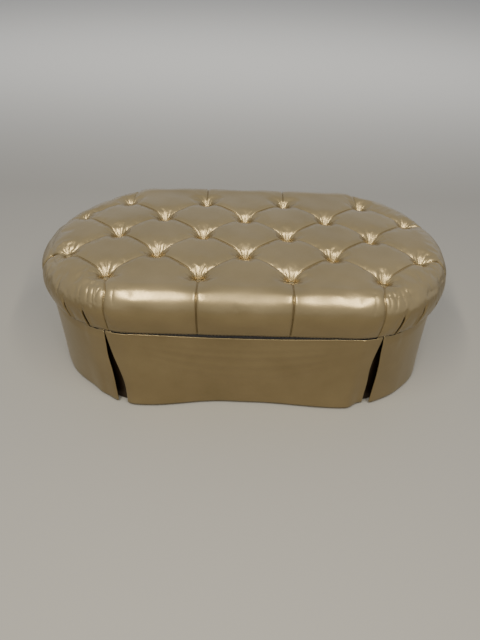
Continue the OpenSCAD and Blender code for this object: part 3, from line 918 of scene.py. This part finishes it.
def on_loop(share):
    """A station round the middle line's offset loop: the line's point and the outward direction."""
    half_turn = math.pi * SKIRT_R
    total = 4 * HALF + 2 * half_turn
    run = share * total
    if run < 2 * HALF:
        return Vector((-HALF + run, 0, 0)), Vector((0, -1, 0))
    run -= 2 * HALF
    if run < half_turn:
        a = run / SKIRT_R
        return Vector((HALF, 0, 0)), Vector((math.sin(a), -math.cos(a), 0))
    run -= half_turn
    if run < 2 * HALF:
        return Vector((HALF - run, 0, 0)), Vector((0, 1, 0))
    a = (run - 2 * HALF) / SKIRT_R
    return Vector((-HALF, 0, 0)), Vector((-math.sin(a), math.cos(a), 0))


# ---- Materials ----

def new_material(name):
    """A new material, its nodes and links, and its shader."""
    material = bpy.data.materials.new(name)
    material.use_nodes = True
    nodes, links = material.node_tree.nodes, material.node_tree.links
    return material, nodes, links, nodes["Principled BSDF"]


def add(nodes, kind, **values):
    node = nodes.new(kind)
    for key, value in values.items():
        if key in node.bl_rna.properties:
            setattr(node, key, value)
        else:
            node.inputs[key.replace("_", " ")].default_value = value
    return node


def ramp(nodes, stops):
    node = nodes.new("ShaderNodeValToRGB")
    while len(node.color_ramp.elements) < len(stops):
        node.color_ramp.elements.new(0.5)
    for element, (at, colour) in zip(node.color_ramp.elements, stops):
        element.position = at
        element.color = (*colour, 1)
    return node


def vary_roughness(nodes, links, shader, pattern, limits):
    """Roughness that follows a pattern between two limits."""
    rough = add(nodes, "ShaderNodeMapRange")
    rough.inputs["To Min"].default_value, rough.inputs["To Max"].default_value = limits
    links.new(pattern.outputs["Fac"], rough.inputs["Value"])
    links.new(rough.outputs["Result"], shader.inputs["Roughness"])


def vinyl_material(name="gold_vinyl", dark=(0.226, 0.174, 0.089), light=(0.264, 0.204, 0.108)):
    """Metallic gold upholstery vinyl with a fine pebbled grain."""
    material, nodes, links, shader = new_material(name)
    where = add(nodes, "ShaderNodeTexCoord")
    cloud = add(nodes, "ShaderNodeTexNoise", Scale=7.0, Detail=3.0, Roughness=0.55)
    flake = add(nodes, "ShaderNodeTexNoise", Scale=900.0, Detail=2.0, Roughness=0.7)
    links.new(where.outputs["Object"], cloud.inputs["Vector"])
    links.new(where.outputs["Object"], flake.inputs["Vector"])
    tone = ramp(nodes, [(0.30, dark), (0.70, light)])
    links.new(cloud.outputs["Fac"], tone.inputs["Fac"])
    glint = add(nodes, "ShaderNodeMix", data_type="RGBA", blend_type="MULTIPLY")
    glint.inputs["Factor"].default_value = 0.35
    spark = ramp(nodes, [(0.30, (0.70, 0.70, 0.70)), (0.75, (1.15, 1.12, 1.05))])
    links.new(flake.outputs["Fac"], spark.inputs["Fac"])
    links.new(tone.outputs["Color"], glint.inputs[6])
    links.new(spark.outputs["Color"], glint.inputs[7])
    links.new(glint.outputs[2], shader.inputs["Base Color"])
    gloss = {"Metallic": 0.86, "IOR": 1.5, "Coat Weight": 0.05, "Coat Roughness": 0.22}
    for socket, value in gloss.items():
        shader.inputs[socket].default_value = value
    vary_roughness(nodes, links, shader, cloud, (0.29, 0.36))
    pebble = add(nodes, "ShaderNodeTexVoronoi", Scale=520.0, feature="SMOOTH_F1")
    links.new(where.outputs["Object"], pebble.inputs["Vector"])
    fine = add(nodes, "ShaderNodeBump", Strength=0.10, Distance=0.0004)
    links.new(pebble.outputs["Distance"], fine.inputs["Height"])
    soft = add(nodes, "ShaderNodeBump", Strength=0.15, Distance=0.002)
    ripple = add(nodes, "ShaderNodeTexNoise", Scale=60.0, Detail=3.0)
    links.new(where.outputs["Object"], ripple.inputs["Vector"])
    links.new(ripple.outputs["Fac"], soft.inputs["Height"])
    links.new(fine.outputs["Normal"], soft.inputs["Normal"])
    links.new(soft.outputs["Normal"], shader.inputs["Normal"])
    return material


def paint(piece, material):
    piece.data.materials.clear()
    piece.data.materials.append(material)


def procedural(name, dark, light, scale, stretch=(1, 1, 1), detail=4.0, roughness=(0.5, 0.6), metallic=0.0,
               bump=0.2, depth=0.0005, pattern="ShaderNodeTexNoise", fine=None):
    """A material whose tone, roughness and relief follow one stretched pattern."""
    material, nodes, links, shader = new_material(name)
    where = add(nodes, "ShaderNodeTexCoord")
    turn = add(nodes, "ShaderNodeMapping")
    turn.inputs["Scale"].default_value = stretch
    links.new(where.outputs["Object"], turn.inputs["Vector"])
    main = add(nodes, "ShaderNodeTexNoise", Scale=scale, Detail=detail, Roughness=0.6)
    links.new(turn.outputs["Vector"], main.inputs["Vector"])
    tone = ramp(nodes, [(0.32, dark), (0.68, light)])
    links.new(main.outputs["Fac"], tone.inputs["Fac"])
    links.new(tone.outputs["Color"], shader.inputs["Base Color"])
    vary_roughness(nodes, links, shader, main, roughness)
    shader.inputs["Metallic"].default_value = metallic
    relief = nodes.new(pattern)
    relief.inputs["Scale"].default_value = fine or scale * 6
    links.new(turn.outputs["Vector"], relief.inputs["Vector"])
    raised = add(nodes, "ShaderNodeBump", Strength=bump, Distance=depth)
    links.new(relief.outputs[0], raised.inputs["Height"])
    links.new(raised.outputs["Normal"], shader.inputs["Normal"])
    return material


VINYL = vinyl_material()
# Painted shade: the pleat underlays get a near-black copy of the gold vinyl, standing in for the deep shadow
# inside the pleats
PAINTED_SHADE_UNDERLAY = vinyl_material("vinyl_underlay", (0.030, 0.018, 0.009), (0.042, 0.026, 0.013))
CELLS = "ShaderNodeTexVoronoi"
FINISHES = {
    "vinyl": VINYL,
    "plywood": procedural("birch_plywood", (0.46, 0.31, 0.17), (0.62, 0.46, 0.28), 9, (1, 9, 9), 6,
                          (0.55, 0.7), bump=0.25),
    "timber": procedural("planed_softwood", (0.42, 0.25, 0.12), (0.60, 0.41, 0.22), 7, (1, 12, 12), 6,
                         (0.5, 0.65), bump=0.3),
    "foot_wood": procedural("stained_feet", (0.018, 0.009, 0.005), (0.045, 0.022, 0.011), 14, (9, 9, 1), 5,
                            (0.28, 0.4)),
    "lining_cloth": procedural("lining_cloth", (0.010, 0.009, 0.009), (0.022, 0.020, 0.019), 60, (1, 1, 1),
                               3, (0.85, 0.95), bump=0.5, pattern=CELLS, fine=700),
    "dust_cloth": procedural("dust_cloth", (0.008, 0.008, 0.008), (0.018, 0.018, 0.018), 50, (1, 1, 1), 3,
                             (0.88, 0.96), bump=0.5, pattern=CELLS, fine=600),
    "foam": procedural("upholstery_foam", (0.66, 0.56, 0.33), (0.78, 0.69, 0.45), 40, (1, 1, 1), 3,
                       (0.9, 0.98), bump=0.6, depth=0.001, pattern=CELLS, fine=450),
    "batting": procedural("polyester_batting", (0.72, 0.72, 0.70), (0.85, 0.85, 0.83), 25, (1, 1, 1), 6,
                          (0.9, 0.97), bump=0.6, depth=0.002, fine=160),
    "twine": procedural("waxed_twine", (0.46, 0.40, 0.28), (0.62, 0.55, 0.42), 300, (1, 1, 3), 2, (0.6, 0.7),
                        bump=0.6),
    "steel": procedural("zinc_plate", (0.40, 0.41, 0.42), (0.58, 0.58, 0.57), 120, (1, 4, 4), 3,
                        (0.28, 0.42), 1.0, 0.1),
    "hinge_brass": procedural("satin_brass", (0.52, 0.36, 0.12), (0.66, 0.49, 0.20), 120, (4, 1, 4), 3,
                              (0.25, 0.38), 1.0, 0.1),
    "glide_plastic": procedural("moulded_nylon", (0.010, 0.010, 0.010), (0.018, 0.018, 0.018), 90, (1, 1, 1),
                                2, (0.4, 0.5)),
    "bumper_rubber": procedural("soft_rubber", (0.006, 0.006, 0.006), (0.012, 0.012, 0.012), 120, (1, 1, 1),
                                2, (0.7, 0.8)),
}


# ---- Camera ----

camera_data = bpy.data.cameras.new("camera")
camera = bpy.data.objects.new("camera", camera_data)
bpy.context.scene.collection.objects.link(camera)
bpy.context.scene.camera = camera
camera_data.sensor_width = 36.0
camera_data.lens = 27.56
PITCH, YAW, ROLL = math.radians(42.08), math.radians(1.02), math.radians(2.2)
camera.location = (-0.0317, -1.3972, 1.3541)
ahead = Vector((math.sin(YAW) * math.cos(PITCH), math.cos(YAW) * math.cos(PITCH), -math.sin(PITCH)))
right = Vector((math.cos(YAW), -math.sin(YAW), 0))
above = right.cross(ahead)
right, above = (right * math.cos(ROLL) + above * math.sin(ROLL),
                above * math.cos(ROLL) - right * math.sin(ROLL))
camera.rotation_mode = "QUATERNION"
camera.rotation_quaternion = Matrix((right, above, -ahead)).transposed().to_quaternion()


# ---- Pieces ----

cover = lid_cover()
paint(cover, VINYL)
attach(cover, "lid")
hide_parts("lid_cover", "lid_batting", "lid_foam")

buttons = covered_buttons()
paint(buttons, VINYL)
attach(buttons, "lid")
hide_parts("tufting_buttons")

rim = rim_band()
# The rim band gets the black lining cloth. Inside the box it is the lining; on its outer face under the lid's
# edge the black is painted shade for the shadow gap
paint(rim, FINISHES["lining_cloth"])
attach(rim, "base")
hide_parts("rim_cover")

HANG = FOLD_TOP - HEM_Z + FOLD_R * (math.pi / 2 - 1)
FRONT_CUT = (round_end(PLEAT_ANGLE[-1]) + round_end(PLEAT_ANGLE[1]) + 2 * RETURN, HANG)
END_CUT = {side: (2 * (END_LENGTH - round_end(PLEAT_ANGLE[side]) + RETURN), HANG) for side in (-1, 1)}
skirts = [
    (long_skirt("front_skirt_panel", False), "front_skirt", FRONT_CUT, "front_skirt_batten"),
    (long_skirt("back_skirt_panel", True), "back_skirt", FRONT_CUT, "back_skirt_batten"),
    (end_skirt("left_skirt_panel", -1), "left_skirt", END_CUT[-1], "left_skirt_batten"),
    (end_skirt("right_skirt_panel", 1), "right_skirt", END_CUT[1], "right_skirt_batten"),
]
for side_x, left_right in ((-1, "left"), (1, "right")):
    for side_y, front_back in ((-1, "front"), (1, "back")):
        name = f"{front_back}_{left_right}_pleat"
        made = pleat_backing(name + "_underlay", side_x, side_y)
        skirts.append((made, name + "_backing", UNDERLAY_CUT, f"{front_back}_panel"))
for piece, node, cut, held_by in skirts:
    # The underlays take the near-black vinyl, painted shade for the pleat gaps; the panels take the gold
    # vinyl
    paint(piece, PAINTED_SHADE_UNDERLAY if "underlay" in piece.name else VINYL)
    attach(piece, "base")
    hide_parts(node)

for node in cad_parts.values():
    if not node.hide_render:
        paint(node, FINISHES[node.data.materials[0].name.split(".")[0]])


# ---- Floor and lights ----

def floor():
    made = new_object("floor", [(-8, -8, 0), (8, -8, 0), (8, 8, 0), (-8, 8, 0)], [(0, 1, 2, 3)], False)
    material, _, _, shader = new_material("pale_floor")
    shader.inputs["Base Color"].default_value = (0.190, 0.183, 0.166, 1)
    shader.inputs["Roughness"].default_value = 0.7
    paint(made, material)


def area_light(name, place, target, size, power, colour):
    data = bpy.data.lights.new(name, "AREA")
    data.shape = "RECTANGLE"
    data.size, data.size_y = size
    data.energy = power
    data.color = colour
    made = bpy.data.objects.new(name, data)
    made.location = place
    made.rotation_mode = "QUATERNION"
    towards = Vector(target) - Vector(place)
    across = towards.cross(Vector((0, 1, 0))).normalized()
    upwards = across.cross(towards).normalized()
    made.rotation_quaternion = Matrix((across, upwards, -towards.normalized())).transposed().to_quaternion()
    bpy.context.scene.collection.objects.link(made)


floor()
for side, x, power in (("left", -1.05, 140), ("right", 1.15, 112)):
    place, target = (x, -1.75, 3.0), (x * 0.2, -1.75 * 0.2, 0.4)
    area_light(side + "_tube", place, target, (0.16, 2.4), power, (1.0, 0.925, 0.76))
area_light("background_light", (0, 3.0, 3.0), (0, 8.0, 0), (8.0, 1.0), 600, (0.97, 0.98, 1.0))
world = bpy.data.worlds.new("studio")
bpy.context.scene.world = world
world.use_nodes = True
world.node_tree.nodes["Background"].inputs["Color"].default_value = (0.90, 0.93, 1.0, 1)
world.node_tree.nodes["Background"].inputs["Strength"].default_value = 0.90
